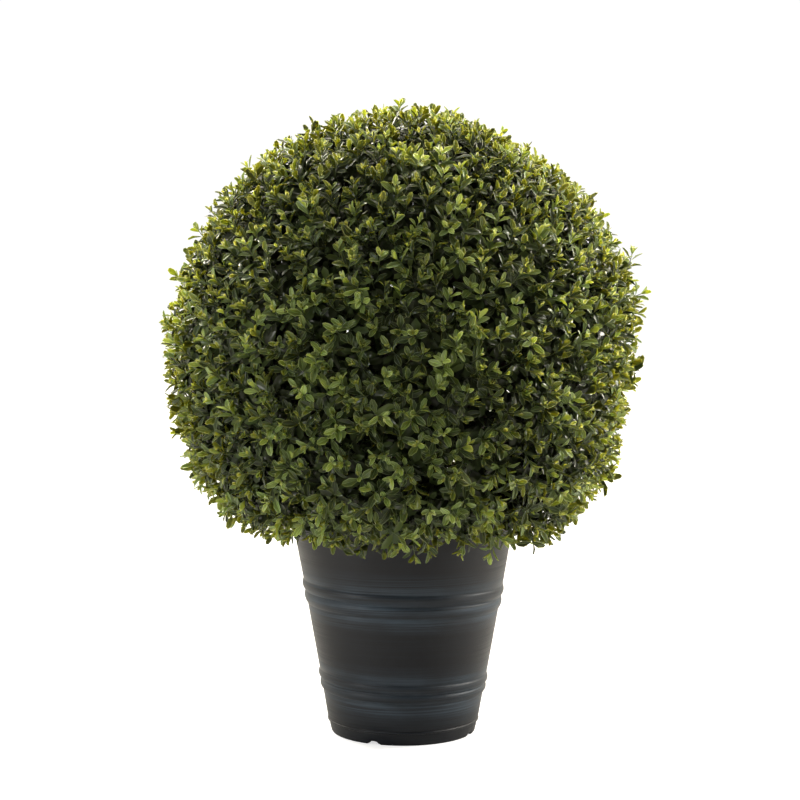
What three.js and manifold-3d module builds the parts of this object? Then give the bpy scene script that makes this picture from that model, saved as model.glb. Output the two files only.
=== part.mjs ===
// Box topiary ball in its pot: a clipped ball of artificial box leaves on a short stem,
// set in the filling of a ribbed plastic pot.
// Millimetres, +Z up. The origin is the centre of the pot's underside, and the front faces -Y.

import * as THREE from 'three';
import { mergeVertices } from 'three/addons/utils/BufferGeometryUtils.js';
import Module from 'manifold-3d';

const wasm = await Module();
wasm.setup();

// ---- Pot -------------------------------------------------------------------

const potHeight = 272;
const potGroundRadius = 91.5; // the wall's line carried down to the ground
const potFlare = 0.178; // outward lean of the wall for each mm of height
const potWall = 3;
const potSides = 44;

const footHeight = 15; // the plain band round the foot
const footStep = 0.9; // how far the band lies inside the wall's line
const footEdge = 3; // rounding of the band's lower edge
const footRingInner = 80; // inside of the ring that the pot stands on
const undersideRecess = 4;

const ribPairs = [
  { from: 53, waist: 65, to: 77 },
  { from: 160, waist: 176, to: 190 },
];
const ribProud = 2.4;
const ribSteps = 4;

const lipHeight = 11;
const lipProud = 3;

const notchCount = 4; // drainage notches through the foot ring
const notchWidth = 16;
const notchHeight = 4.5;
const notchTurn = THREE.MathUtils.degToRad(-24); // the first notch, left of the front

// ---- Filling and stem ------------------------------------------------------

const fillTop = 256;
const fillCrown = 4; // the filling is a little higher round the stem
const stemTop = 410;
const stemFootRadius = 21;
const stemRadius = 14; // just above its flare
const stemTipRadius = 10;
const stemFlareHeight = 26;
const stemSides = 16;

// ---- Ball of foliage -------------------------------------------------------

const ballCentreZ = 488;
const ballRadius = 296;
const ballDetail = 13; // subdivisions of the icosahedron that the ball starts from
const ballUnderside = 237; // where the clipped underside hangs over the pot
const skirtFullness = 18; // how far the ball swells out low down
const skirtElevation = THREE.MathUtils.degToRad(-38);
const skirtSpread = THREE.MathUtils.degToRad(15);
const undersideBlend = 11; // rounding where the side turns in to the underside
const lumpHeight = 1.3;
const lumpWaves = [6, 11, 16, 22, 29, 37]; // lumps round the ball, coarse to fine

const clearance = 0.4; // between pieces that touch

// ---- Materials -------------------------------------------------------------

function material(color, roughness) {
  return new THREE.MeshStandardMaterial({ color, roughness, metalness: 0 });
}

const graphitePlastic = material(0x26292d, 0.42);
const greyFilling = material(0x5b564e, 0.95);
const brownStem = material(0x4a3a2a, 0.85);
const boxGreen = material(0x3d5a21, 0.6);

// ---- Solids ----------------------------------------------------------------

// Joins shared corners and drops the empty triangles at the poles of a turned shape.
function weld(geometry) {
  geometry.deleteAttribute('normal');
  geometry.deleteAttribute('uv');
  const merged = mergeVertices(geometry, 1e-4);
  const corners = merged.index.array;
  const kept = [];
  for (let i = 0; i < corners.length; i += 3) {
    const [a, b, c] = corners.subarray(i, i + 3);
    if (a !== b && b !== c && c !== a) kept.push(a, b, c);
  }
  merged.setIndex(kept);
  return merged;
}

function toSolid(geometry) {
  const welded = weld(geometry);
  return new wasm.Manifold(new wasm.Mesh({
    numProp: 3,
    vertProperties: new Float32Array(welded.attributes.position.array),
    triVerts: new Uint32Array(welded.index.array),
  }));
}

function toGeometry(solid) {
  const mesh = solid.getMesh();
  const geometry = new THREE.BufferGeometry();
  geometry.setAttribute('position', new THREE.BufferAttribute(mesh.vertProperties, 3));
  geometry.setIndex(new THREE.BufferAttribute(mesh.triVerts, 1));
  geometry.computeVertexNormals();
  return geometry;
}

// Turns a profile of [radius, height] points, given from the bottom up on the outside, about Z.
function turned(profile, sides) {
  const points = profile.map(([radius, height]) => new THREE.Vector2(radius, height));
  const geometry = new THREE.LatheGeometry(points, sides);
  geometry.rotateX(Math.PI / 2);
  return toSolid(geometry);
}

function named(name, solid, look) {
  const mesh = new THREE.Mesh(toGeometry(solid), look);
  mesh.name = name;
  return mesh;
}

// ---- Pot -------------------------------------------------------------------

function wallRadius(height) {
  return potGroundRadius + potFlare * height;
}

// One rounded rib between two heights, without its last point.
function ribProfile(from, to) {
  const points = [];
  for (let step = 0; step < ribSteps; step += 1) {
    const share = step / ribSteps;
    const height = from + (to - from) * share;
    points.push([wallRadius(height) + ribProud * Math.sin(Math.PI * share), height]);
  }
  return points;
}

function outerWallProfile() {
  const points = [
    [wallRadius(0) - footStep - footEdge * 0.5, 0],
    [wallRadius(footEdge) - footStep, footEdge],
    [wallRadius(footHeight) - footStep, footHeight],
    [wallRadius(footHeight + 1), footHeight + 1],
  ];
  for (const { from, waist, to } of ribPairs) {
    points.push(...ribProfile(from, waist), ...ribProfile(waist, to), [wallRadius(to), to]);
  }
  const lipBase = potHeight - lipHeight;
  const lipRadius = wallRadius(potHeight) + lipProud;
  points.push(
    [wallRadius(lipBase), lipBase],
    [lipRadius - 0.6, lipBase + 3],
    [lipRadius, potHeight - 4],
    [lipRadius - 1.2, potHeight - 0.8],
    [lipRadius - 3, potHeight],
  );
  return points;
}

function makePot() {
  const floorTop = undersideRecess + potWall;
  const shell = turned([
    [0, undersideRecess],
    [footRingInner - undersideRecess * 0.5, undersideRecess],
    [footRingInner, 0],
    ...outerWallProfile(),
    [wallRadius(potHeight) - potWall, potHeight],
    [wallRadius(floorTop) - potWall, floorTop],
    [0, floorTop],
  ], potSides);

  let pot = shell;
  const notchLength = wallRadius(0) - footRingInner + 20;
  for (let i = 0; i < notchCount; i += 1) {
    const angle = notchTurn + (i * 2 * Math.PI) / notchCount;
    const notch = new THREE.BoxGeometry(notchWidth, notchLength, notchHeight * 2);
    notch.translate(0, -(footRingInner + wallRadius(0)) / 2, 0);
    notch.rotateZ(angle);
    pot = pot.subtract(toSolid(notch));
  }
  return pot;
}

// ---- Filling and stem ------------------------------------------------------

function makeFilling() {
  const bottom = undersideRecess + potWall + clearance;
  const inset = potWall + clearance;
  return turned([
    [0, bottom],
    [wallRadius(bottom) - inset, bottom],
    [wallRadius(fillTop) - inset, fillTop],
    [stemFootRadius * 2, fillTop + fillCrown * 0.6],
    [stemFootRadius + 6, fillTop + fillCrown],
    [0, fillTop + fillCrown],
  ], potSides);
}

// Half-width of the stem at a height above its foot: a root flare, then an even taper.
function stemRadiusAt(height) {
  const length = stemTop - fillTop;
  const flare = Math.max(0, 1 - height / stemFlareHeight) ** 2;
  const taper = stemRadius + (stemTipRadius - stemRadius) * (height / length);
  return taper + (stemFootRadius - stemRadius) * flare;
}

function stemProfile(extra) {
  const foot = fillTop + fillCrown + clearance;
  const heights = [0, 5, 11, 18, stemFlareHeight, 60, 100, stemTop - foot];
  return heights.map((height) => [stemRadiusAt(height) + extra, foot + height]);
}

function makeStem() {
  const side = stemProfile(0);
  const foot = side[0][1];
  return turned([[0, foot], ...side, [0, stemTop]], stemSides);
}

// ---- Ball of foliage -------------------------------------------------------

// Soft uneven lumps over the sphere: waves that run across it in directions spread by the golden angle.
function lumps(direction) {
  let height = 0;
  lumpWaves.forEach((wave, index) => {
    for (let turn = 0; turn < 3; turn += 1) {
      const step = index * 3 + turn + 1;
      const azimuth = step * 2.39996;
      const rise = Math.sin(step * 1.7);
      const across = Math.sqrt(1 - rise * rise);
      const along = direction.x * across * Math.cos(azimuth)
        + direction.y * across * Math.sin(azimuth) + direction.z * rise;
      height += lumpHeight * Math.sin(wave * along + step);
    }
  });
  return height;
}

// The smaller of two lengths, with a rounded turn from one to the other.
function softMin(a, b, blend) {
  const share = THREE.MathUtils.clamp(0.5 + (b - a) / (2 * blend), 0, 1);
  return b + (a - b) * share - blend * share * (1 - share);
}

function ballRadiusTowards(direction) {
  const elevation = Math.asin(THREE.MathUtils.clamp(direction.z, -1, 1));
  const skirt = Math.exp(-(((elevation - skirtElevation) / skirtSpread) ** 2));
  const side = ballRadius + skirtFullness * skirt + lumps(direction);
  const drop = ballCentreZ - ballUnderside + lumps(direction) * 0.3;
  if (-direction.z * side < drop * 0.9) return side;
  return softMin(side, drop / -direction.z, undersideBlend);
}

function makeClippedBall() {
  const geometry = new THREE.IcosahedronGeometry(1, ballDetail);
  const positions = geometry.attributes.position;
  const direction = new THREE.Vector3();
  for (let i = 0; i < positions.count; i += 1) {
    direction.fromBufferAttribute(positions, i).normalize();
    direction.multiplyScalar(ballRadiusTowards(direction));
    positions.setXYZ(i, direction.x, direction.y, direction.z);
  }
  geometry.computeBoundingBox();
  const middle = geometry.boundingBox.getCenter(new THREE.Vector3());
  geometry.translate(-middle.x, -middle.y, ballCentreZ);
  return toSolid(geometry);
}

// The room that the pot's rim and the stem take up in the ball.
function makePocket() {
  const ceiling = potHeight + clearance;
  const start = ballUnderside - 20;
  const rim = wallRadius(potHeight) + lipProud + clearance;
  const stemRoom = stemProfile(clearance).filter(([, height]) => height > ceiling + 1);
  return turned([
    [0, start],
    [wallRadius(start) + clearance, start],
    [wallRadius(potHeight - lipHeight) + clearance, potHeight - lipHeight],
    [rim, potHeight - lipHeight + 3],
    [rim, ceiling],
    [stemRadiusAt(ceiling - fillTop - fillCrown - clearance) + clearance, ceiling],
    ...stemRoom,
    [stemTipRadius + clearance, stemTop + clearance],
    [0, stemTop + clearance],
  ], potSides);
}

function makeFoliageBall() {
  return makeClippedBall().subtract(makePocket());
}

// ---- The whole plant -------------------------------------------------------

const plant = new THREE.Group();
plant.add(
  named('pot', makePot(), graphitePlastic),
  named('pot_filling', makeFilling(), greyFilling),
  named('stem', makeStem(), brownStem),
  named('foliage_ball', makeFoliageBall(), boxGreen),
);

export default plant;
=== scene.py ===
import math

import bmesh
import bpy
import numpy as np
from mathutils import Matrix, Vector, noise
from mathutils.bvhtree import BVHTree


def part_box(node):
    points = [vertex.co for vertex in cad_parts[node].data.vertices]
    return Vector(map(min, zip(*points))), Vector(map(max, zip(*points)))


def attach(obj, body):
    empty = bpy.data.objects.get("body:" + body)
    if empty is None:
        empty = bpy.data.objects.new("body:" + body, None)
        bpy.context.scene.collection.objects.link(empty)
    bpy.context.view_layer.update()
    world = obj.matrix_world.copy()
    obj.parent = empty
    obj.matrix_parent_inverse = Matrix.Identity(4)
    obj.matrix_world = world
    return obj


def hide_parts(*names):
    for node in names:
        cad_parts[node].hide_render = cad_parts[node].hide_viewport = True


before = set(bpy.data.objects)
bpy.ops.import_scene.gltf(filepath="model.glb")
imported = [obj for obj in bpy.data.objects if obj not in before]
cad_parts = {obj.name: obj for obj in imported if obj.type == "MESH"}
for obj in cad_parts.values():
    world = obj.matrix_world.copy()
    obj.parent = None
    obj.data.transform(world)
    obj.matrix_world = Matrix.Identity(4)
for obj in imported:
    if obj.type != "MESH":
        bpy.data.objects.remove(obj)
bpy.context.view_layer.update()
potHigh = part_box("pot")[1]
fillLow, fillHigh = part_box("pot_filling")
stemLow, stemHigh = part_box("stem")
ballLow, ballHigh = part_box("foliage_ball")
print("frame loaded, plant height", round(ballHigh.z, 3), "m")

mm = 0.001
up = np.array([0.0, 0.0, 1.0])


# small helpers

def newObject(name, mesh, materials):
    piece = bpy.data.objects.new(name, mesh)
    bpy.context.scene.collection.objects.link(piece)
    for material in materials:
        mesh.materials.append(material)
    return piece


def finishBmesh(bm, name, materials, smooth=True):
    mesh = bpy.data.meshes.new(name)
    for face in bm.faces:
        face.smooth = smooth
    bm.to_mesh(mesh)
    bm.free()
    return newObject(name, mesh, materials)


def newMaterial(name, roughness, gloss=0.5):
    material = bpy.data.materials.new(name)
    material.use_nodes = True
    shader = material.node_tree.nodes["Principled BSDF"]
    shader.inputs["Roughness"].default_value = roughness
    shader.inputs["Specular IOR Level"].default_value = gloss
    return material, shader


def plainMaterial(name, colour, roughness, gloss=0.5):
    material, shader = newMaterial(name, roughness, gloss)
    shader.inputs["Base Color"].default_value = (*colour, 1)
    return material


def addNode(owner, kind, inputs, **settings):
    # a node with its settings, and each input either a value or the output that feeds it
    node = owner.node_tree.nodes.new("ShaderNode" + kind)
    for name, value in settings.items():
        setattr(node, name, value)
    feed(owner, node, inputs)
    return node


def feed(owner, node, inputs):
    for name, value in inputs.items():
        if isinstance(value, bpy.types.NodeSocket):
            owner.node_tree.links.new(value, node.inputs[name])
        else:
            node.inputs[name].default_value = value


def shareRange(owner, value, low, high, fromValue=0.0, toValue=1.0):
    node = addNode(owner, "MapRange", {"Value": value, "From Min": low, "From Max": high,
                                       "To Min": fromValue, "To Max": toValue})
    return node.outputs["Result"]


def times(owner, first, second):
    node = addNode(owner, "Math", {0: first, 1: second}, operation="MULTIPLY")
    return node.outputs[0]


def fillRamp(ramp, stops):
    # stops: position and colour, from low to high
    while len(ramp.elements) < len(stops):
        ramp.elements.new(1)
    for element, (position, colour) in zip(ramp.elements, stops):
        element.position = position
        element.color = (*colour, 1)


def unit(vectors):
    return vectors / np.maximum(np.linalg.norm(vectors, axis=-1, keepdims=True), 1e-12)


# pot

pot = {
    "segments": 240,
    "groundRadius": 91.5 * mm,  # the wall's line carried down to the ground
    "flare": 0.178,
    "wall": 3 * mm,
    "footHeight": 15 * mm,
    "footStep": 0.9 * mm,
    "footEdge": 3 * mm,
    "footRingInner": 80 * mm,
    "ringRound": 1.5 * mm,
    "beadProud": 0.9 * mm,  # the fine bead above the foot band
    "beadHeight": 3 * mm,
    "recess": 4 * mm,
    "ribPairs": ((53, 65, 77), (160, 176, 190)),  # from, waist and to, in mm
    "ribProud": 2.4 * mm,
    "ribFullness": 0.8,  # under 1 the rib is rounder on top
    "groove": 0.35 * mm,  # fine grooves over, between and under the ribs
    "grooveWidth": 2 * mm,
    "lipHeight": 11 * mm,
    "lipProud": 3 * mm,
    "lipRound": 3 * mm,
    "notchCount": 4,
    "notchWidth": 16 * mm,
    "notchHeight": 4.5 * mm,
    "notchTurn": math.radians(-24),
    "ribSlant": 0.03,  # the ribs run a little downhill from left to right
    "slantStart": 0.3,  # how far in from the foot and the lip the slant begins
    "plastic": (0.0010, 0.0016, 0.0042),
    "plasticGloss": 0.3,
    "plasticRoughness": (0.38, 0.54),
    "streakDepth": 0.4 * mm,
    "wash": (0.044, 0.066, 0.092),
    "streakScale": (5, 5, 720),
    "patchScale": (11, 11, 26),
    "washShift": (0.9, 0, 0),  # puts the fuller patches left of the front
    # height in mm and strength of the blue-grey wash, which is brushed round the ribs
    "washBands": ((0, 0.1), (20, 0.12), (32, 0.25), (44, 0.9), (50, 1.0), (57, 0.4), (65, 0.9),
                  (72, 0.35), (82, 0.7), (92, 0.25), (104, 0.08), (138, 0.08), (150, 0.5), (157, 1.0),
                  (163, 0.4), (172, 1.0), (182, 0.35), (193, 0.8), (204, 0.3), (220, 0.06), (272, 0.05)),
}


def wallRadius(height):
    return pot["groundRadius"] + pot["flare"] * height


def arcPoints(centre, radius, fromDegrees, toDegrees, steps):
    turns = np.radians(np.linspace(fromDegrees, toDegrees, steps + 1))
    return [(centre[0] + radius * math.cos(turn), centre[1] + radius * math.sin(turn)) for turn in turns]


def ribPoints(low, high, steps=12):
    # a full round bead between two fine grooves
    points = []
    for step in range(1, steps):
        share = step / steps
        height = low + (high - low) * share
        swell = pot["ribProud"] * math.sin(math.pi * share) ** pot["ribFullness"]
        points.append((wallRadius(height) + swell, height))
    return points


def groovePoint(height):
    return [(wallRadius(height) - pot["groove"], height)]


def wallPoints(low, high, spacing=9 * mm):
    count = max(1, round((high - low) / spacing))
    heights = np.linspace(low, high, count + 1)
    return [(wallRadius(height), height) for height in heights]


def potOutline():
    edge = pot["footEdge"]
    foot = wallRadius(0) - pot["footStep"]
    top = potHigh.z
    lip = wallRadius(top) + pot["lipProud"]
    floorTop = pot["recess"] + pot["wall"]
    ring = pot["footRingInner"]
    ringRound = pot["ringRound"]
    points = [(0, pot["recess"]), (ring * 0.5, pot["recess"]), (ring - 2 * ringRound, pot["recess"])]
    points += arcPoints((ring - 2 * ringRound, pot["recess"] - ringRound), ringRound, 80, 0, 3)
    points += [(ring, 1 * mm), (ring + 1 * mm, 0), (foot - edge, 0)]
    points += arcPoints((foot - edge, edge), edge, -75, 0, 5)
    footHeights = (8 * mm, 13 * mm, pot["footHeight"] - 0.4 * mm)
    points += [(wallRadius(height) - pot["footStep"], height) for height in footHeights]
    bead = pot["footHeight"] + pot["beadHeight"] / 2
    points += [(wallRadius(pot["footHeight"]) - pot["footStep"] - 0.3 * mm, pot["footHeight"] + 0.2 * mm)]
    points += arcPoints((wallRadius(bead) + pot["beadProud"] - pot["beadHeight"] / 2, bead),
                        pot["beadHeight"] / 2, -80, 80, 6)
    start = pot["footHeight"] + pot["beadHeight"] + 1 * mm
    gap = pot["grooveWidth"] / 2
    for low, waist, high in pot["ribPairs"]:
        low, waist, high = low * mm, waist * mm, high * mm
        points += wallPoints(start, low - gap) + groovePoint(low) + ribPoints(low, waist)
        points += groovePoint(waist) + ribPoints(waist, high) + groovePoint(high)
        start = high + gap
    lipBase = top - pot["lipHeight"]
    points += wallPoints(start, lipBase)
    rounding = pot["lipRound"]
    points += [(lip - 0.8 * mm, lipBase + 2.2 * mm), (lip, lipBase + 3.4 * mm), (lip, top - rounding)]
    points += arcPoints((lip - rounding, top - rounding), rounding, 18, 90, 5)
    inner = wallRadius(top) - pot["wall"]
    points += [(inner + 0.8 * mm, top), (inner, top - 0.8 * mm)]
    innerHeights = np.linspace(top - 20 * mm, floorTop + 3 * mm, 8)
    points += [(wallRadius(height) - pot["wall"], height) for height in innerHeights]
    points += [(wallRadius(floorTop) - pot["wall"] - 3 * mm, floorTop), (0, floorTop)]
    return points


def spinOutline(points, segments):
    bm = bmesh.new()
    verts = [bm.verts.new((radius, 0, height)) for radius, height in points]
    edges = [bm.edges.new(pair) for pair in zip(verts, verts[1:])]
    bmesh.ops.spin(bm, geom=verts + edges, cent=(0, 0, 0), axis=(0, 0, 1), angle=math.tau,
                   steps=segments, use_merge=True, use_duplicate=False)
    bmesh.ops.remove_doubles(bm, verts=bm.verts, dist=1e-6)
    bmesh.ops.recalc_face_normals(bm, faces=bm.faces)
    return bm


def slantRibs(bm):
    # full between the lowest and the highest rib, and none at the foot, the lip and the inside
    low, high = pot["ribPairs"][0][0] * mm, pot["ribPairs"][-1][-1] * mm
    start = pot["slantStart"]
    for vert in bm.verts:
        inward = wallRadius(vert.co.z) - math.hypot(vert.co.x, vert.co.y)
        if inward < pot["wall"] / 2:
            fromFoot = (vert.co.z - pot["footHeight"]) / low
            fromLip = (potHigh.z - vert.co.z) / (potHigh.z - high)
            share = min(fromFoot, fromLip, 1)
            vert.co.z -= vert.co.x * pot["ribSlant"] * max(0, share - start) / (1 - start)


def archNotches(bm):
    halfWidth = pot["notchWidth"] / 2
    for vert in bm.verts:
        radius = math.hypot(vert.co.x, vert.co.y)
        if radius < pot["footRingInner"] - 2 * mm or vert.co.z > pot["notchHeight"] * 1.6:
            continue
        angle = math.atan2(vert.co.x, -vert.co.y)
        for index in range(pot["notchCount"]):
            middle = pot["notchTurn"] + index * math.tau / pot["notchCount"]
            offset = (angle - middle + math.pi) % math.tau - math.pi
            across = abs(offset * radius) / halfWidth
            if across < 1:
                vert.co.z = max(vert.co.z, pot["notchHeight"] * (1 - across ** 4))


def potPlastic():
    material, shader = newMaterial("graphitePotPlastic", 0.4, pot["plasticGloss"])
    place = addNode(material, "TexCoord", {}).outputs["Object"]
    # long level streaks, as from a nearly dry brush, in broad patches
    level = addNode(material, "Mapping", {"Vector": place, "Scale": pot["streakScale"]}).outputs["Vector"]
    brush = addNode(material, "TexNoise", {"Vector": level, "Scale": 1.0, "Detail": 6, "Roughness": 0.7})
    streaks = shareRange(material, brush.outputs["Fac"], 0.3, 0.64)
    broad = addNode(material, "Mapping", {"Vector": place, "Location": pot["washShift"],
                                          "Scale": pot["patchScale"]})
    clouds = addNode(material, "TexNoise", {"Vector": broad.outputs["Vector"], "Scale": 1.0, "Detail": 3})
    patches = shareRange(material, clouds.outputs["Fac"], 0.36, 0.6, 0.5, 1)
    slant = addNode(material, "VectorMath", {0: place, 1: (pot["ribSlant"], 0, 1)}, operation="DOT_PRODUCT")
    height = times(material, slant.outputs["Value"], 1 / potHigh.z)
    bands = addNode(material, "ValToRGB", {"Fac": height})
    bands.color_ramp.interpolation = "EASE"
    fillRamp(bands.color_ramp, [(z * mm / potHigh.z, (strength,) * 3) for z, strength in pot["washBands"]])
    wash = times(material, times(material, bands.outputs["Color"], streaks), patches)
    colour = addNode(material, "Mix", {"Factor": wash}, data_type="RGBA")
    feed(material, colour, {"A": (*pot["plastic"], 1), "B": (*pot["wash"], 1)})
    rough = shareRange(material, brush.outputs["Fac"], 0.3, 0.7, *pot["plasticRoughness"])
    bump = addNode(material, "Bump", {"Height": brush.outputs["Fac"], "Strength": 0.25,
                                      "Distance": pot["streakDepth"]})
    feed(material, shader, {"Base Color": colour.outputs["Result"], "Roughness": rough,
                            "Normal": bump.outputs["Normal"]})
    return material


def makePot():
    bm = spinOutline(potOutline(), pot["segments"])
    slantRibs(bm)
    archNotches(bm)
    piece = finishBmesh(bm, "ribbed_pot", [potPlastic()])
    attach(piece, "root")
    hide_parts("pot")
    print("pot:", len(piece.data.polygons), "faces")


# filling

filling = {
    "segments": 96,
    "crown": 4 * mm,
    "clearance": 0.4 * mm,
    "gritScale": 160,
    "gritHeight": 1.2 * mm,
    "grainScale": 260,
    "dark": (0.05, 0.045, 0.038),
    "pale": (0.2, 0.19, 0.17),
    "seed": 4,
}


def gritMaterial():
    material, shader = newMaterial("greyGrit", 0.92)
    place = addNode(material, "TexCoord", {}).outputs["Object"]
    grains = addNode(material, "TexVoronoi", {"Vector": place, "Scale": filling["grainScale"]})
    shades = addNode(material, "ValToRGB", {"Fac": grains.outputs["Color"]})
    fillRamp(shades.color_ramp, [(0, filling["dark"]), (1, filling["pale"])])
    feed(material, shader, {"Base Color": shades.outputs["Color"]})
    return material


def makeFilling():
    top = fillHigh.z - filling["crown"]
    bottom = fillLow.z
    topRadius, bottomRadius = fillHigh.x, wallRadius(bottom) - pot["wall"] - filling["clearance"]
    points = [(0, bottom), (bottomRadius * 0.5, bottom), (bottomRadius, bottom)]
    points += [(bottomRadius + (topRadius - bottomRadius) * share, bottom + (top - bottom) * share)
               for share in (0.25, 0.5, 0.75, 1)]
    rings = np.linspace(topRadius - 3 * mm, 0, 34)
    points += [(ring, top + filling["crown"] * max(0.0, 1 - ring / (0.5 * topRadius))) for ring in rings]
    bm = spinOutline(points, filling["segments"])
    shift = Vector((filling["seed"], 0, 0))
    for vert in bm.verts:
        radius = math.hypot(vert.co.x, vert.co.y)
        if vert.co.z > top - 1 * mm and radius < topRadius - 2 * mm:
            grit = noise.noise(vert.co * filling["gritScale"] + shift)
            vert.co.z += filling["gritHeight"] * (grit - 0.6)
    piece = finishBmesh(bm, "grit_filling", [gritMaterial()])
    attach(piece, "root")
    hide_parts("pot_filling")
    print("filling:", len(piece.data.polygons), "faces")


# branching

growth = {
    "seed": 11,
    "ballCentre": np.array([0, 0, 0.488]),
    # each order: how many, share of the way to the outline, base and tip radius in mm
    "boughs": {"count": 15, "reach": 0.34, "radius": (6.5, 4.2)},
    "branches": {"count": 75, "reach": 0.6, "radius": (3.6, 2.4)},
    "branchlets": {"count": 460, "reach": 0.77, "radius": (1.9, 1.2)},
    "sprigs": {"count": 2350, "reach": 1.0, "radius": (1.0, 0.55)},
    "forkDepth": 12 * mm,  # the boughs start this far below the stem's top
    "bend": 0.55,  # how much of a limb's length its curve takes up
    "jitter": 0.55,  # of the spacing between neighbours
    "rise": 0.72,  # how much limbs turn upwards as they grow
    "droop": 0.6,  # less of that towards the underside
    "wander": 0.48,
    "mouth": (0.132, 0.29),  # no sprays inside this radius of the pot's mouth, below this height
}


def evenDirections(count, jitter, rng):
    index = np.arange(count) + 0.5
    z = 1 - 2 * index / count
    turn = index * math.pi * (3 - math.sqrt(5))
    across = np.sqrt(1 - z * z)
    directions = np.stack([across * np.cos(turn), across * np.sin(turn), z], axis=1)
    spacing = math.sqrt(4 * math.pi / count)
    return unit(directions + rng.normal(0, jitter * spacing * 0.5, directions.shape))


def outlineDistances(directions):
    tree = BVHTree.FromObject(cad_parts["foliage_ball"], bpy.context.evaluated_depsgraph_get())
    centre = Vector(growth["ballCentre"])
    reach = []
    for direction in directions:
        hit = tree.ray_cast(centre, Vector(direction))
        reach.append(hit[3])
    return np.array(reach)


def bezier(start, control, end, steps):
    share = np.linspace(0, 1, steps + 1)[None, :, None]
    return ((1 - share) ** 2 * start[:, None] + 2 * share * (1 - share) * control[:, None]
            + share ** 2 * end[:, None])


def growOrder(order, starts, startDirections, rng, steps):
    # ends spread evenly round the ball, each growing from the nearest limb of the order before
    directions = evenDirections(order["count"], growth["jitter"], rng)
    outline = outlineDistances(directions)
    if order is growth["sprigs"]:
        mouth, mouthTop = growth["mouth"]
        spots = growth["ballCentre"] + directions * outline[:, None]
        clear = (np.hypot(spots[:, 0], spots[:, 1]) > mouth) | (spots[:, 2] > mouthTop)
        directions, outline = directions[clear], outline[clear]
    count = len(directions)
    reach = outline * order["reach"]
    stray = np.zeros(count, bool)
    if order is growth["sprigs"]:
        reach = reach - sprig["inset"] - rng.uniform(0, sprig["depthSpread"], count)
        bulgeSide, bulgeWidth, bulgeHeight = sprig["bulge"]
        away = ((directions - unit(bulgeSide)) ** 2).sum(1)
        reach += bulgeHeight * np.exp(-away / bulgeWidth ** 2)
        stray = rng.random(count) < sprig["strayShare"]
        reach[stray] += rng.uniform(0.4, 1, stray.sum()) * sprig["strayLength"]
    ends = growth["ballCentre"] + directions * reach[:, None]
    parent = np.argmax(directions @ startDirections.T, axis=1)
    begin = starts[parent]
    rise = growth["rise"] + growth["droop"] * np.minimum(directions[:, 2:], 0)
    heading = unit(directions + up * rise + rng.normal(0, growth["wander"], (count, 3)))
    length = np.linalg.norm(ends - begin, axis=1, keepdims=True)
    control = ends - heading * length * growth["bend"]
    return {"paths": bezier(begin, control, ends, steps), "begin": begin, "control": control,
            "ends": ends, "directions": directions, "stray": stray,
            "radii": np.linspace(*order["radius"], steps + 1) * mm}


def growTree():
    rng = np.random.default_rng(growth["seed"])
    crown = np.array([[0, 0, stemHigh.z - growth["forkDepth"]]])
    orders = {}
    starts, heads = crown, up[None]
    for name, steps in (("boughs", 9), ("branches", 8), ("branchlets", 6), ("sprigs", 5)):
        order = growOrder(growth[name], starts, heads, rng, steps)
        orders[name] = order
        starts, heads = order["ends"], order["directions"]
    print("branching:", {name: len(order["ends"]) for name, order in orders.items()})
    return orders


# tubes from arrays

def tubeArrays(paths, radii, sides):
    # paths: limbs x points x 3
    count, points, _ = paths.shape
    tangent = unit(np.gradient(paths, axis=1))
    side = unit(np.cross(tangent, np.array([0.31, 0.87, 0.38])))
    over = np.cross(tangent, side)
    turn = np.arange(sides) / sides * math.tau
    ring = side[:, :, None] * np.cos(turn)[:, None] + over[:, :, None] * np.sin(turn)[:, None]
    vertices = paths[:, :, None] + ring * radii[None, :, None, None]
    vertices = vertices.reshape(count, points * sides, 3)
    low = np.arange(points - 1)[:, None] * sides
    here = np.arange(sides)[None]
    onward = (here + 1) % sides
    quads = np.stack([low + here, low + onward, low + sides + onward, low + sides + here], axis=-1)
    faces = (quads.reshape(1, -1, 4) + (np.arange(count) * points * sides)[:, None, None]).reshape(-1, 4)
    caps = np.stack([np.arange(sides)[::-1], (points - 1) * sides + np.arange(sides)])
    caps = (caps[None] + (np.arange(count) * points * sides)[:, None, None]).reshape(-1, sides)
    return vertices.reshape(-1, 3), faces, caps


def arrayMesh(name, vertices, faceGroups, slots=None):
    mesh = bpy.data.meshes.new(name)
    mesh.vertices.add(len(vertices))
    mesh.vertices.foreach_set("co", vertices.astype(np.float32).ravel())
    loops = np.concatenate([group.ravel() for group in faceGroups])
    sizes = np.concatenate([np.full(len(group), group.shape[1]) for group in faceGroups])
    mesh.loops.add(len(loops))
    mesh.loops.foreach_set("vertex_index", loops.astype(np.int32))
    mesh.polygons.add(len(sizes))
    mesh.polygons.foreach_set("loop_start", (np.cumsum(sizes) - sizes).astype(np.int32))
    if slots is not None:
        mesh.polygons.foreach_set("material_index", slots.astype(np.int32))
    mesh.polygons.foreach_set("use_smooth", np.ones(len(sizes), bool))
    mesh.update(calc_edges=True)
    mesh.validate()
    return mesh


# stem and boughs

bark = {
    "stemSides": 28,
    "ringSpacing": 4 * mm,
    "reliefScale": (150, 150, 38),
    "reliefHeight": 0.9 * mm,
    "boughSides": 10,
    "stemRadius": 14 * mm,  # just above the flare
    "stemTip": 10 * mm,
    "flareHeight": 26 * mm,
    "flareShare": 0.93,
    "colourDeep": (0.02, 0.013, 0.008),
    "colourHigh": (0.1, 0.066, 0.04),
}


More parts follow.
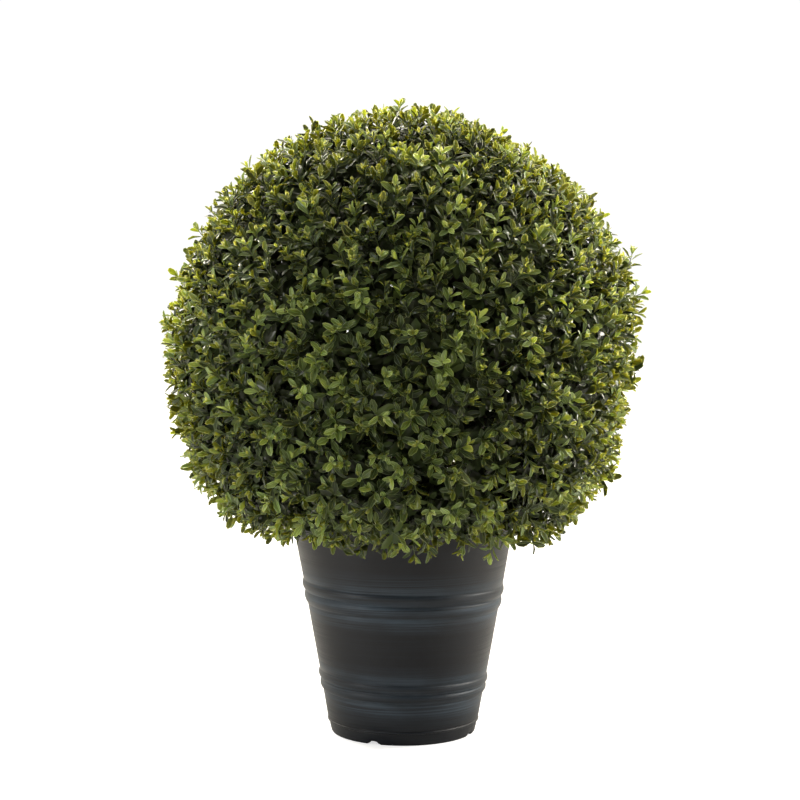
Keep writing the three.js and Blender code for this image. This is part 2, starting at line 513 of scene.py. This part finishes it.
def barkMaterial():
    material, shader = newMaterial("brownBark", 0.8)
    place = addNode(material, "TexCoord", {}).outputs["Object"]
    stretched = addNode(material, "Mapping", {"Vector": place, "Scale": (1, 1, 0.3)}).outputs["Vector"]
    grain = addNode(material, "TexNoise", {"Vector": stretched, "Scale": 220, "Detail": 6}).outputs["Fac"]
    shades = addNode(material, "ValToRGB", {"Fac": grain})
    fillRamp(shades.color_ramp, [(0.35, bark["colourDeep"]), (0.68, bark["colourHigh"])])
    bump = addNode(material, "Bump", {"Height": grain, "Strength": 0.5, "Distance": 0.6 * mm})
    feed(material, shader, {"Base Color": shades.outputs["Color"], "Normal": bump.outputs["Normal"]})
    return material


def addLimb(bm, path, radii, sides):
    # rings along the path, each bridged to the one before
    last, count = None, len(path)
    for index, point in enumerate(path):
        ahead = Vector(path[min(index + 1, count - 1)] - path[max(index - 1, 0)])
        place = Matrix.Translation(Vector(point)) @ ahead.to_track_quat("Z", "X").to_matrix().to_4x4()
        ends = index in (0, count - 1)
        ring = bmesh.ops.create_circle(bm, cap_ends=ends, segments=sides, radius=radii[index], matrix=place)
        edges = list({edge for vert in ring["verts"] for edge in vert.link_edges})
        if last:
            bmesh.ops.bridge_loops(bm, edges=last + edges)
        last = edges


def stemRadii(heights):
    # the stem's own taper, with a flare at its foot
    foot, tip = stemHigh.x, bark["stemTip"]
    rise = (heights - stemLow.z) / (stemHigh.z - stemLow.z)
    flare = np.clip(1 - (heights - stemLow.z) / bark["flareHeight"], 0, 1) ** 2
    middle = bark["stemRadius"]
    return middle + (tip - middle) * rise + (foot - middle) * flare * bark["flareShare"]


def roughen(bm):
    bm.normal_update()
    scale = Vector(bark["reliefScale"])
    for vert in bm.verts:
        spot = vert.co * scale
        ridge = 1 - 2 * abs(noise.noise(spot)) + 0.5 * noise.noise(spot * 2.7)
        vert.co += vert.normal * bark["reliefHeight"] * (ridge - 1)


def makeWood(orders):
    bm = bmesh.new()
    heights = np.arange(stemLow.z, stemHigh.z - 2 * mm, bark["ringSpacing"])
    path = np.stack([heights * 0, heights * 0, heights], axis=1)
    addLimb(bm, path, stemRadii(heights), bark["stemSides"])
    for name in ("boughs", "branches"):
        order = orders[name]
        for path in order["paths"]:
            limb = bmesh.new()
            addLimb(limb, path, order["radii"], bark["boughSides"])
            part = bpy.data.meshes.new("limb")
            limb.to_mesh(part)
            limb.free()
            bm.from_mesh(part)
            bpy.data.meshes.remove(part)
    bmesh.ops.recalc_face_normals(bm, faces=bm.faces)
    roughen(bm)
    piece = finishBmesh(bm, "stem_and_boughs", [barkMaterial()])
    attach(piece, "root")
    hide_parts("stem")
    print("stem and boughs:", len(piece.data.polygons), "faces")


twig = {
    "branchletSides": 6,
    "sprigSides": 3,
    "brown": (0.055, 0.04, 0.02),
    "green": (0.06, 0.085, 0.022),
}


def makeTwigs(orders):
    brown = plainMaterial("twigBrown", twig["brown"], 0.7, 0.3)
    green = plainMaterial("twigGreen", twig["green"], 0.55, 0.4)
    kinds = (("branchlets", orders["branchlets"], twig["branchletSides"], brown),
             ("sprig_stalks", orders["sprigs"], twig["sprigSides"], green))
    for name, order, sides, look in kinds:
        vertices, quads, caps = tubeArrays(order["paths"], order["radii"], sides)
        piece = newObject(name, arrayMesh(name, vertices, [quads, caps]), [look])
        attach(piece, "root")
        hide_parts("foliage_ball")
        print(name + ":", len(quads) + len(caps), "faces")


# leaves

sprig = {
    "inset": 8 * mm,  # stalk ends lie this far inside the outline, and their leaves reach past them
    "depthSpread": 14 * mm,
    "bulge": (np.array([-0.9, -0.1, -0.42]), 0.5, 9 * mm),  # a fuller side: where, how wide, how far out
    "strayShare": 0.02,  # a few shoots that the shears missed
    "strayLength": 15 * mm,
    "strayTone": 4,  # young growth, so a fresh tone
    # leaf pairs from the tip down: way along the stalk in mm, leaf size, angle from the stalk, kind of leaf
    "pairs": (
        (0, 0.45, 14, "bud"),
        (2.5, 0.78, 30, "full"),
        (9, 0.96, 44, "full"),
        (17, 1.04, 54, "full"),
        (26, 1.1, 60, "inner"),
        (35, 1.15, 66, "inner"),
        (44, 1.45, 70, "inner"),
        (55, 1.7, 70, "inner"),
    ),
    "bareFoot": 0.04,  # share of the stalk that stays bare at its foot
    "innerFloor": 36 * mm,  # no inner leaves nearer to the underside than this
    "faceOut": 0.05,
    "spreadJitter": 10,  # degrees
    "turnJitter": 14,
    "twistJitter": 18,
    "vigour": (0.86, 1.14),
    "freshnessAndDepthShade": (0, 1, 0, -1, -1, -2, -2, -2),  # steps up or down the tones, pair by pair: lighter near the fresh tips, and darker down the stalk into the ball, which is painted shade
}

leaf = {
    "length": 18.5 * mm,
    "lengthSpread": 0.1,
    "outline": ((0.2, 0.4), (0.58, 1.0), (0.9, 0.66)),  # places along the leaf, and how wide it is there
    "innerOutline": ((0.35, 0.8), (0.8, 0.9)),
    "width": 0.43,  # the rest as shares of the length
    "fold": 0.5,  # the two halves rise from the midrib
    "curl": (0.02, 0.32),  # tips bend back
    "rib": 0.07,
    "margin": 0.81,  # where the thin pale edge begins; it is a painted highlight of the light the edge catches
    "roll": 0.015,  # how far the edge turns down
    "thick": 0.02,
    "roughness": 0.19,
    "gloss": 0.2,
    "innerGloss": 0.2,
    "glow": 1.0,  # how freely light comes through a leaf
    "glowDepth": (1.05, 1.0, 0.37),
    # each part's colour is the spray's tone times a gain, plus a lift
    "leaf": ((1, 1, 1), (0, 0, 0)),
    # rib and edge colour: a slightly paler midrib, and on the margins a painted highlight for light caught
    # by the turned-down edge
    "leafRibAndEdgeHighlight": ((1.5, 1.58, 1.5), (0.032, 0.039, 0.02)),
    "leafBack": ((1.15, 1.1, 0.85), (0.011, 0.012, 0.004)),
}

# base colours from the oldest leaves to the freshest tips, and how often a spray is dealt each; the darkest
# tones, on the leaves deep inside, are painted shade as well as age
tones = (
    # Inner is painted shade: only the hidden inner leaves take it, so the gaps between sprays look deep and
    # dark
    ("Inner", (0.022, 0.029, 0.012), 0.0),
    ("Dark", (0.024, 0.035, 0.012), 0.26),
    ("Deep", (0.042, 0.062, 0.021), 0.34),
    ("Mid", (0.080, 0.111, 0.032), 0.23),
    ("Fresh", (0.135, 0.190, 0.055), 0.12),
    ("Lime", (0.215, 0.285, 0.088), 0.05),
)
parts = ("leaf", "leafRibAndEdgeHighlight", "leafBack")
leafPieces = (("full", "outer_leaves", 4), ("bud", "tip_leaves", 1), ("inner", "inner_leaves", 1))


def leafSheet(columns, lift, part, outline):
    # a strip of leaf along Y between its base and its tip, with corners of its own
    points = [(0, 0, lift(0, 0))]
    for row, halfWidth in outline:
        reach = halfWidth * leaf["width"] / 2
        points += [(column * reach, row, lift(column, reach)) for column in columns]
    points.append((0, 1, lift(0, 0)))
    wide, last = len(columns), len(points) - 1
    faces = []
    for column in range(wide - 1):
        look = part
        # margin faces take the lighter colour, a painted highlight along the edge
        if part == "leaf" and min(abs(columns[column]), abs(columns[column + 1])) >= leaf["margin"]:
            look = "leafRibAndEdgeHighlight"
        start = 1 + column
        end = start + wide * (len(outline) - 1)
        faces.append(((0, start + 1, start), look))
        faces += [((low, low + 1, low + wide + 1, low + wide), look) for low in range(start, end, wide)]
        faces.append(((end, end + 1, last), look))
    return points, faces


def upperLift(column, reach):
    rise = leaf["fold"] * max(abs(column) - leaf["rib"], 0) * reach
    return rise - (leaf["roll"] if abs(column) == 1 and reach else 0)


def underLift(column, reach):
    return upperLift(column, reach) if column else -leaf["thick"] * (reach > 0)


def leafShape(kind):
    rib, margin, outline = leaf["rib"], leaf["margin"], leaf["outline"]
    back = leafSheet((-1, 0, 1), underLift, "leafBack", outline)
    if kind == "full":
        sheets = [leafSheet((-1, -margin, -rib), upperLift, "leaf", outline),
                  leafSheet((-rib, rib), upperLift, "leafRibAndEdgeHighlight", outline),
                  leafSheet((rib, margin, 1), upperLift, "leaf", outline), back]
    elif kind == "bud":
        sheets = [leafSheet((-1, 0, 1), upperLift, "leaf", outline), back]
    else:
        sheets = [leafSheet((-1, 0, 1), upperLift, "leaf", leaf["innerOutline"])]
    points, corners, looks = [], {3: [], 4: []}, {3: [], 4: []}
    for sheetPoints, faces in sheets:
        for face, look in faces:
            order = face[::-1] if look == "leafBack" else face
            corners[len(face)].append([corner + len(points) for corner in order])
            looks[len(face)].append(parts.index(look))
        points += sheetPoints
    return {"points": np.array(points, float),
            "faces": [(np.array(corners[size]), np.array(looks[size])) for size in (3, 4)]}


def leafArrays(shape, base, along, face, length, curl, tone):
    side = np.cross(along, face)
    local = np.repeat(shape["points"][None], len(base), axis=0)
    local[:, :, 2] -= curl[:, None] * local[:, :, 1] ** 2
    local *= length[:, None, None]
    vertices = (base[:, None] + local[..., 0:1] * side[:, None] + local[..., 1:2] * along[:, None]
                + local[..., 2:3] * face[:, None])
    shift = (np.arange(len(base)) * len(shape["points"]))[:, None, None]
    groups = [(faces[None] + shift).reshape(-1, faces.shape[1]) for faces, _ in shape["faces"]]
    slots = [(tone[:, None] + looks[None] * len(tones)).ravel() for _, looks in shape["faces"]]
    return vertices.reshape(-1, 3), groups, np.concatenate(slots)


def pointAlong(order, share):
    start, middle, end = order["begin"], order["control"], order["ends"]
    share = share[:, None]
    point = (1 - share) ** 2 * start + 2 * share * (1 - share) * middle + share ** 2 * end
    heading = 2 * (1 - share) * (middle - start) + 2 * share * (end - middle)
    return point, unit(heading)


def leafMaterials(kind):
    if kind == "inner":
        return [plainMaterial("innerLeaf" + name, colour, leaf["roughness"], leaf["innerGloss"])
                for name, colour, _ in tones]
    materials = []
    for part in parts:
        gain, lift = leaf[part]
        for name, colour, _ in tones:
            shade = [channel * more + add for channel, more, add in zip(colour, gain, lift)]
            material, shader = newMaterial(part + name, leaf["roughness"], leaf["gloss"])
            shader.subsurface_method = "RANDOM_WALK"
            feed(material, shader, {"Base Color": (*shade, 1), "Subsurface Weight": leaf["glow"],
                                    "Subsurface Radius": leaf["glowDepth"], "Subsurface Scale": 1 * mm})
            materials.append(material)
    return materials


def placeLeaves(order):
    # opposite pairs down each stalk, every pair turned a quarter from the one above
    rng = np.random.default_rng(growth["seed"] + 1)
    count = len(order["ends"])
    shares = np.array([share for _, _, share in tones])
    sprayTone = rng.choice(len(tones), size=count, p=shares / shares.sum())
    sprayTone[order["stray"]] = sprig["strayTone"]
    vigour = rng.uniform(*sprig["vigour"], count)
    firstTurn = rng.uniform(0, math.tau, count)
    reference = unit(rng.normal(size=(count, 3)))
    span = np.linalg.norm(order["ends"] - order["begin"], axis=1)
    places = {"full": [], "bud": [], "inner": []}
    for index, (down, size, spread, kind) in enumerate(sprig["pairs"]):
        base, heading = pointAlong(order, np.clip(1 - down * mm * vigour / span, sprig["bareFoot"], 1))
        first = unit(np.cross(heading, reference))
        second = np.cross(heading, first)
        for half in (0, math.pi):
            turn = firstTurn + index * math.pi / 2 + half
            turn = turn + np.radians(rng.normal(0, sprig["turnJitter"], count))
            outward = first * np.cos(turn)[:, None] + second * np.sin(turn)[:, None]
            angle = np.radians(spread + rng.normal(0, sprig["spreadJitter"], count))[:, None]
            along = heading * np.cos(angle) + outward * np.sin(angle)
            face = heading * np.sin(angle) - outward * np.cos(angle)
            face = face + sprig["faceOut"] * order["directions"]
            face = unit(face - along * (face * along).sum(1, keepdims=True))
            twist = np.radians(rng.normal(0, sprig["twistJitter"], count))[:, None]
            face = face * np.cos(twist) + np.cross(along, face) * np.sin(twist)
            length = leaf["length"] * size * vigour * rng.normal(1, leaf["lengthSpread"], count)
            curl = rng.uniform(*leaf["curl"], count)
            # inner leaves may step down to the darkest tone, a painted shade of the ball's inside
            darkest = 0 if kind == "inner" else 1
            tone = np.clip(sprayTone + sprig["freshnessAndDepthShade"][index], darkest, len(tones) - 1)
            places[kind].append((base, along, face, length, curl, tone))
    return places


def makeLeaves(order):
    places = placeLeaves(order)
    turnShare = np.arctan2(order["directions"][:, 0], -order["directions"][:, 1]) / math.tau % 1
    total = 0
    for kind, name, pieces in leafPieces:
        shape = leafShape(kind)
        materials = leafMaterials(kind)
        columns = [np.concatenate(column) for column in zip(*places[kind])]
        sector = np.tile((turnShare * pieces).astype(int), len(places[kind]))
        allowed = columns[0][:, 2] > ballLow.z + sprig["innerFloor"] if kind == "inner" else sector >= 0
        for piece in range(pieces):
            chosen = (sector == piece) & allowed
            vertices, groups, slots = leafArrays(shape, *[column[chosen] for column in columns])
            label = name + "_" + str(piece + 1) if pieces > 1 else name
            made = newObject(label, arrayMesh(label, vertices, groups, slots), materials)
            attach(made, "root")
            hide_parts("foliage_ball")
            triangles = sum(len(group) * (group.shape[1] - 2) for group in groups)
            total += triangles
            print(label + ":", chosen.sum(), "leaves,", triangles, "triangles")
    print("leaves in all:", total, "triangles")


# floor, light and camera

studio = {
    "floorSize": 12,
    "floor": (0.66, 0.66, 0.66),
    "floorGlow": 0.66,  # the floor looks like an evenly lit white sweep, but throws little light up
    "backdrop": 1.02,
    "front": 0.03,
    "behind": 2.0,
    "sweep": (-0.5, 1),  # from where in front to where behind the light grows
    "overhead": 0.4,
    "warm": (1, 0.93, 0.79),
    # place, aim, width, height, watts, tint
    "lights": {
        "top": ((0, 0.55, 2.2), (0, 0, 0.5), 1.2, 1.2, 18, (1, 0.93, 0.8)),
        "right": ((1.65, 0.25, 1.15), (0, 0, 0.5), 0.35, 0.9, 39, (1, 0.94, 0.84)),
        "left": ((-1.25, 1.05, 1.9), (0, 0, 0.5), 0.35, 0.9, 44, (1, 0.93, 0.8)),
        "key": ((-1.3, -1.5, 2.0), (0, 0, 0.4), 0.3, 0.3, 10, (0.9, 0.97, 1)),
        "lowLeft": ((-1.2, -0.8, 0.25), (0, 0, 0.15), 0.3, 0.4, 4.5, (1, 0.98, 0.96)),
        "lowRight": ((1.3, -0.5, 0.25), (0, 0, 0.15), 0.3, 0.4, 2.4, (1, 0.98, 0.96)),
    },
}

view = {
    "distance": 2.3,
    "height": 0.553,
    "pitch": 3.39,  # degrees down
    "aside": -4 * mm,
    "sensor": 36,
    "lens": 82.8,
}


def makeFloor():
    bm = bmesh.new()
    bmesh.ops.create_grid(bm, x_segments=2, y_segments=2, size=studio["floorSize"])
    material, shader = newMaterial("paleFloor", 0.6, 0.2)
    path = addNode(material, "LightPath", {}).outputs["Is Camera Ray"]
    feed(material, shader, {"Base Color": (*studio["floor"], 1), "Emission Color": (1, 1, 1, 1),
                            "Emission Strength": times(material, path, studio["floorGlow"])})
    floor = finishBmesh(bm, "floor", [material])


def makeWorld():
    # white to look at all round, but it lights the plant from behind and overhead more than from the front
    world = bpy.data.worlds.new("whiteStudio")
    bpy.context.scene.world = world
    world.use_nodes = True
    path = addNode(world, "LightPath", {}).outputs["Is Camera Ray"]
    place = addNode(world, "TexCoord", {}).outputs["Generated"]
    axes = addNode(world, "SeparateXYZ", {"Vector": place})
    depth = shareRange(world, axes.outputs["Y"], *studio["sweep"], studio["front"], studio["behind"])
    above = shareRange(world, axes.outputs["Z"], 0, 1, 0, studio["overhead"])
    total = addNode(world, "Math", {0: depth, 1: above})
    strength = addNode(world, "Mix", {"Factor": path, "A": total.outputs[0], "B": studio["backdrop"]})
    tint = addNode(world, "Mix", {"Factor": path}, data_type="RGBA")
    feed(world, tint, {"A": (*studio["warm"], 1), "B": (1, 1, 1, 1)})
    feed(world, world.node_tree.nodes["Background"], {"Color": tint.outputs["Result"],
                                                      "Strength": strength.outputs["Result"]})


def makeLight(name):
    place, aim, width, height, watts, tint = studio["lights"][name]
    data = bpy.data.lights.new(name + "Light", "AREA")
    data.shape = "RECTANGLE"
    data.size = width
    data.size_y = height
    data.energy = watts
    data.color = tint
    light = bpy.data.objects.new(name + "Light", data)
    light.location = place
    light.rotation_euler = (Vector(aim) - Vector(place)).to_track_quat("-Z", "Y").to_euler()
    bpy.context.scene.collection.objects.link(light)


def makeCamera():
    data = bpy.data.cameras.new("camera")
    data.sensor_width = view["sensor"]
    data.lens = view["lens"]
    camera = bpy.data.objects.new("camera", data)
    camera.location = (view["aside"], -view["distance"], view["height"])
    camera.rotation_euler = (math.radians(90 - view["pitch"]), 0, 0)
    bpy.context.scene.collection.objects.link(camera)
    bpy.context.scene.camera = camera


makeCamera()
makeFloor()
makeWorld()
for lightName in studio["lights"]:
    makeLight(lightName)
bpy.context.scene.view_settings.view_transform = "Standard"
print("studio ready")

makePot()
makeFilling()
orders = growTree()
makeWood(orders)
makeTwigs(orders)
makeLeaves(orders["sprigs"])
